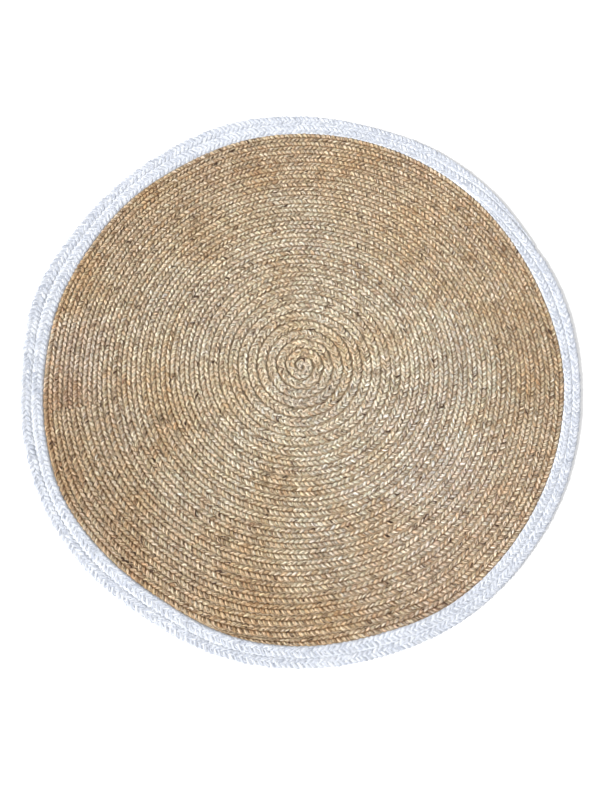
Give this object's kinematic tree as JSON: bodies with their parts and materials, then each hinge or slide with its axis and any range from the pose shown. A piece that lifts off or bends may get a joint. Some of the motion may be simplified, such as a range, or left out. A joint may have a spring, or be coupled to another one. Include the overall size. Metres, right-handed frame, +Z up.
{
  "type": "braided jute rug",
  "caption": "Round flat rug of braided jute, wound in a spiral and sewn edge to edge, with a white braided border, for laying on a floor.",
  "frame": {"origin": "the middle of the spiral, on the floor that the rug lies on", "axes": "+Z up from the floor; +X to the right and +Y away from the camera in the picture"},
  "size_m": [1.189, 1.208, 0.01],
  "materials": {
    "jute": "coarse natural straw-coloured jute in a three-strand plait, matt, with paler, greyer and browner strands and dark flecks",
    "white_plait": "bleached jute in the same plait, matt white with a slight blue-grey cast in its grooves"
  },
  "bodies": {
    "root": {"jute_coil": "jute", "white_border": "white_plait"}
  },
  "joints": []
}
